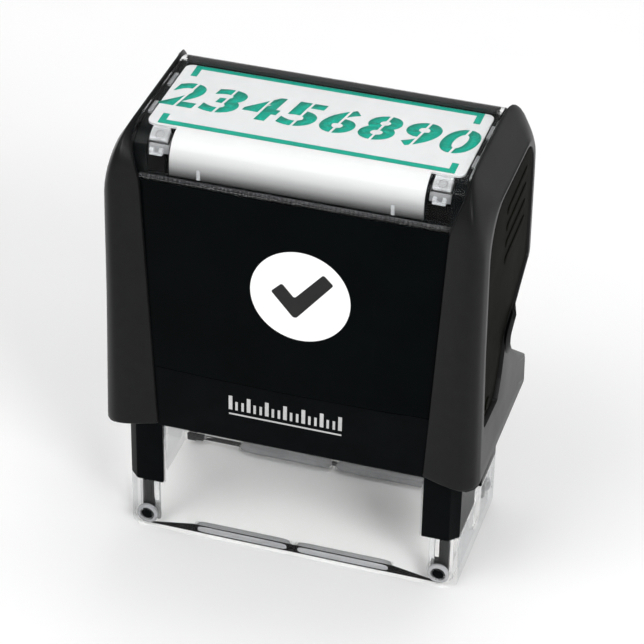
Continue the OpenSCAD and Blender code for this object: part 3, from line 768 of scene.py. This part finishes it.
def hookShape(arch, plan):
    # on each side in front: a broad tongue with a round mark, and below it a small U
    (x0, x1), (low, high), radii = plan["x"], plan["small"], plan["radii"]
    broad = arcBlock(arch, radii, plan["big"], (x0, x1))
    x0, x1 = x0 + plan["edge"], x1 - plan["edge"]
    base = arcBlock(arch, radii, (high - 6, high), (x0, x1))
    legs = [arcBlock(arch, radii, (low, high - 5), x) for x in ((x0, x0 + plan["leg"]), (x1 - plan["leg"], x1))]
    return joined(broad, base, *legs)


def markShape(arch, plan):
    # a fine raised ring lying on the tongue, tilted with it
    middle = math.radians(sum(plan["big"]) / 2)
    out = np.array([0, math.cos(middle), math.sin(middle)])
    slope = np.array([0, -math.sin(middle), math.cos(middle)])
    centre = np.array([sum(plan["x"]) / 2, -arch["y"], arch["z"]]) + out * (plan["radii"][0] + plan["markLift"])
    turn = np.linspace(0, 2 * np.pi, 40, endpoint=False)[None, :, None]
    tube = np.linspace(0, 2 * np.pi, 8, endpoint=False)[:, None, None]
    spread = plan["mark"] + plan["markWire"] * np.cos(tube)
    circle = np.cos(turn) * [1, 0, 0] + np.sin(turn) * slope
    grid = centre + spread * circle + plan["markWire"] * np.sin(tube) * out
    return strip(grid, closeRound=True, closeAlong=True)


def rearArc(radii, turns, count):
    # a long piece of a quarter cylinder, mirrored under the window's rear bend
    return flipped(arcBlock(windowPlan, radii, turns, (-rimPlan["half"], rimPlan["half"]), count), 1)


hooks = hookShape(windowPlan, hookPlan)
marks = markShape(windowPlan, hookPlan)
backs = arcBlock(windowPlan, hookPlan["backRadii"], hookPlan["backTurns"], hookPlan["backX"])
# hookShade is painted shade: a thin black sheet, a little larger than each clip, for the dark outline round it
shade = arcBlock(windowPlan, hookPlan["shadeRadii"], hookPlan["shadeTurns"], hookPlan["shadeX"])
rim = rearArc(rimPlan["radii"], rimPlan["turns"], 24)
# rearBand is painted shade: a black band set inside the clear wall of the window's rear bend, where that bend
# looks dark
band = rearArc(rimPlan["bandRadii"], rimPlan["bandTurns"], 16)
piece("hookShade", quarters(shade), "innerBlack", "handle")
piece("rearRim", rim, "frameGloss", "handle", sharp=40)
piece("rearBand", band, "innerBlack", "window", sharp=40)
piece("snapHooks", quarters(hooks), "hookClear", "window", bevel=0.12)
piece("hookMarks", joined(marks, flipped(marks, 0)), "innerBlack", "window")
piece("hookBacks", quarters(backs), "milkPlastic", "handle", bevel=0.1)

rackPlan = {"half": 24.4, "pitch": 0.34, "tooth": 0.16, "y": (-12.98, -12.72), "z": (66.95, 67.35),
            "ribX": (14.72, 15.28), "ribY": (-13.08, -12.97), "ribZ": (67.9, 69.6),
            "barX": (24.75, 25.4), "bars": ((2.2, 6.0), (-6.4, -3.0)), "barZ": (73.42, 73.82)}


def rackShape(plan):
    # a zigzag in plan carried up a little way, like the teeth of a fine rack
    count = int(2 * plan["half"] / plan["pitch"] / 2) * 2
    x = np.linspace(-plan["half"], plan["half"], count + 1)
    y = np.where(np.arange(count + 1) % 2 == 0, plan["y"][0], plan["y"][0] + plan["tooth"])
    outline = np.vstack([np.stack([x, y], 1), [(plan["half"], plan["y"][1]), (-plan["half"], plan["y"][1])]])
    return prism(outline, 2, *plan["z"])


piece("gripRack", rackShape(rackPlan), "rackGrey", "handle", sharp=20)
(ribLeft, ribRight), (ribFront, ribRear) = rackPlan["ribX"], rackPlan["ribY"]
rib = prism([(ribLeft, ribFront), (ribRight, ribFront), (ribRight, ribRear), (ribLeft, ribRear)], 2,
            *rackPlan["ribZ"])
piece("windowRibs", joined(flipped(rib, 0), rib), "hookClear", "window", bevel=0.03)
bars = [prism(roundRectangle((rackPlan["barX"][0], y0), (rackPlan["barX"][1], y1), 0.2), 2, *rackPlan["barZ"])
        for y0, y1 in rackPlan["bars"]]
piece("sideBars", joined(*bars, *(flipped(bar, 0) for bar in bars)), "milkPlastic", "handle",
      bevel=0.06)

# the card's bend carries painted shade, darker towards its foot; the last entry lists heights and the tone at
# each
cardPlan = {"half": (24.5, 9.2), "z": 73.5, "thick": 0.25, "corner": 1.2, "tongue": 19.6, "tongueFoot": 67.9,
            "paintedShade": [(67.9, 0.02), (68.6, 0.10), (69.6, 0.28), (70.9, 0.46), (72.4, 0.56)]}


def paintedShadeFinish(stops):
    # painted shade: white at the top, falling off to dark where the bend turns under
    material = finish["cardWhite"].copy()
    material.name = "tonguePaintedShade"
    tree = material.node_tree
    for node in tree.nodes:
        if node.type == "GROUP" and node.node_tree == grainGroup:
            node.inputs["Height"].default_value = 1e-7
    place = addNode(tree, "ShaderNodeTexCoord")
    split = addNode(tree, "ShaderNodeSeparateXYZ")
    span = addNode(tree, "ShaderNodeMapRange", **{"From_Min": stops[0][0] * mm, "From_Max": stops[-1][0] * mm})
    ramp = addNode(tree, "ShaderNodeValToRGB")
    tree.links.new(place.outputs["Object"], split.inputs["Vector"])
    tree.links.new(split.outputs["Z"], span.inputs["Value"])
    tree.links.new(span.outputs["Result"], ramp.inputs["Fac"])
    low, high = stops[0][0], stops[-1][0]
    ramp.color_ramp.elements[0].color = (stops[0][1],) * 3 + (1,)
    ramp.color_ramp.elements[1].color = (stops[-1][1],) * 3 + (1,)
    for z, tone in stops[1:-1]:
        ramp.color_ramp.elements.new((z - low) / (high - low)).color = (tone, tone, tone, 1)
    tree.links.new(ramp.outputs["Color"], tree.nodes["Principled BSDF"].inputs["Base Color"])
    return material


def cardShape(plan, arch):
    x, y = plan["half"]
    top = prism(roundRectangle((-x, -y), (x, y), plan["corner"]), 2, plan["z"], plan["z"] + plan["thick"])
    inner, outer = plan["z"] - arch["z"], plan["z"] - arch["z"] + plan["thick"]
    fold = np.vstack([arcPoints((-arch["y"], arch["z"]), outer, 84, 180, 26),
                      [(-arch["y"] - outer, plan["tongueFoot"]), (-arch["y"] - inner, plan["tongueFoot"])],
                      arcPoints((-arch["y"], arch["z"]), inner, 180, 84, 26)])
    return top, prism(fold, 0, -plan["tongue"], plan["tongue"], 2)


finish["tonguePaintedShade"] = paintedShadeFinish(cardPlan["paintedShade"])
cardTop, cardTongue = cardShape(cardPlan, windowPlan)
card = piece("indexCard", cardTop, "cardWhite", "handle", sharp=35)
# the bent tongue wears the painted shade, darker towards its foot
piece("cardTongue", cardTongue, "tonguePaintedShade", "handle", sharp=35)
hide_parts("index_card")

printPlan = {"digits": "23456890", "pitch": 6.12, "width": 5.35, "height": 7.3, "y": 0.1, "slant": 0.2,
             "weight": 0.034, "slit": 0.40, "z": 73.752, "thick": 0.02,
             "frameX": 22.9, "frameY": (-8.8, 9.15), "bar": 0.95, "rearTick": 3.3, "frontTick": 2.7,
             "tickWidth": 1.05}


def digitFlat(digit, plan):
    # one figure of the built-in face, stretched to its cell, with a narrow bridge cut through for a stencil
    curve = bpy.data.curves.new("figure", "FONT")
    curve.body, curve.offset, curve.resolution_u = digit, plan["weight"], 6
    holder = bpy.data.objects.new("figure", curve)
    bpy.context.scene.collection.objects.link(holder)
    bpy.context.view_layer.update()
    mesh = bpy.data.meshes.new_from_object(holder.evaluated_get(bpy.context.evaluated_depsgraph_get()))
    bpy.data.objects.remove(holder)
    work = bmesh.new()
    work.from_mesh(mesh)
    bmesh.ops.remove_doubles(work, verts=work.verts, dist=1e-5)
    flat = np.array([v.co[:2] for v in work.verts])
    low, high = flat.min(0), flat.max(0)
    for v in work.verts:
        v.co = ((v.co[0] - low[0]) / (high[0] - low[0]) - 0.5, (v.co[1] - low[1]) / (high[1] - low[1]) - 0.5, 0)
    half = 0.5 * plan["slit"] / plan["width"]
    for place in (-half, half):
        everything = work.verts[:] + work.edges[:] + work.faces[:]
        bmesh.ops.bisect_plane(work, geom=everything, plane_co=(place, 0, 0), plane_no=(1, 0, 0))
    bridge = [f for f in work.faces if abs(f.calc_center_median()[0]) < half * 0.9]
    bmesh.ops.delete(work, geom=bridge, context="FACES")
    points = np.array([v.co[:] for v in work.verts])
    faces = [[v.index for v in f.verts] for f in work.faces]
    work.free()
    bpy.data.meshes.remove(mesh)
    points[:, 0] = points[:, 0] * plan["width"] + points[:, 1] * plan["height"] * plan["slant"]
    points[:, 1] = points[:, 1] * plan["height"]
    return points, faces


def digitRow(plan):
    row = []
    for k, digit in enumerate(plan["digits"]):
        points, faces = digitFlat(digit, plan)
        shift = (k - (len(plan["digits"]) - 1) / 2) * plan["pitch"]
        row.append((points + [shift, plan["y"], 0], faces))
    return joined(*row)


def flatPiece(name, shape, material, body, thick):
    # a flat figure given a little body upwards from where it lies
    obj = piece(name, shape, material, body, closed=False)
    solid = obj.modifiers.new("body", "SOLIDIFY")
    solid.thickness, solid.offset = thick * mm, 1
    return obj


def bracketShape(plan):
    # two facing brackets: a long bar with a short leg at each end
    x, (front, rear), bar, leg = plan["frameX"], plan["frameY"], plan["bar"], plan["tickWidth"]
    shapes = []
    for edge, tick, sign in ((front, plan["frontTick"], 1), (rear, plan["rearTick"], -1)):
        outline = [(-x, edge), (x, edge), (x, edge + sign * tick), (x - leg, edge + sign * tick),
                   (x - leg, edge + sign * bar), (-x + leg, edge + sign * bar), (-x + leg, edge + sign * tick),
                   (-x, edge + sign * tick)]
        shapes.append(prism(outline, 2, plan["z"], plan["z"] + plan["thick"]))
    return joined(*shapes)


digits = digitRow(printPlan)
flatPiece("labelDigits", (digits[0] + [0, 0, printPlan["z"]], digits[1]), "printTeal", "handle",
          printPlan["thick"])
piece("labelBrackets", bracketShape(printPlan), "printTeal", "handle", sharp=30)
print("window, card and print made")

# front print: a disc with a tick, and a small scale

frontPlan = {"disc": (1.4, 51.2), "radius": 7.9, "face": 14.2, "thick": 0.03,
             "scaleX": (-9.9, 8.4), "scaleZ": 27.0, "marks": 19, "longMark": 2.6, "shortMark": 1.6, "gap": 0.8,
             "longHalf": 0.3, "shortHalf": 0.2, "lineHalf": 0.14, "margin": 0.25, "scaleRise": (0.03, 0.01)}

discShape = turned([(0.01, 0), (frontPlan["radius"], 0), (frontPlan["radius"], -frontPlan["thick"]),
                    (0.01, -frontPlan["thick"])], (frontPlan["disc"][0], -frontPlan["face"] - 0.005,
                                                   frontPlan["disc"][1]), 1, 96)
piece("frontDisc", discShape, "printWhite", "handle", sharp=30)
tickCorners = [(-4.6, 0.2), (-2.9, 1.9), (-0.9, -0.4), (3.6, 4.7), (5.2, 3.1), (-0.8, -4.2)]
tick = np.array(tickCorners) + frontPlan["disc"]
tickLoop = roundedLoop(tick, np.array([0.35, 0.35, 0.35, 0.35, 0.35, 0.6]), 6, 2)
tickShape = prism(tickLoop, 1, -frontPlan["face"] - 0.06, -frontPlan["face"] - 0.02)
piece("frontTick", tickShape, "printBlack", "handle", sharp=30)


def scaleShape(plan):
    # a thin line, and upright marks above it, every third one taller and broader
    (x0, x1), z, line = plan["scaleX"], plan["scaleZ"], plan["lineHalf"]
    out, back = -plan["face"] - plan["scaleRise"][0], -plan["face"] + plan["scaleRise"][1]
    boxes = [(x0, x1, z - line, z + line)]
    for k, x in enumerate(np.linspace(x0 + plan["margin"], x1 - plan["margin"], plan["marks"])):
        size = "short" if k % 3 else "long"
        half, low = plan[size + "Half"], z + plan["gap"]
        boxes.append((x - half, x + half, low, low + plan[size + "Mark"]))
    return joined(*(prism([(a, c), (b, c), (b, d), (a, d)], 1, out, back) for a, b, c, d in boxes))


piece("frontScale", scaleShape(frontPlan), "printGrey", "handle", sharp=30)
print("front print made")

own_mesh(spring)
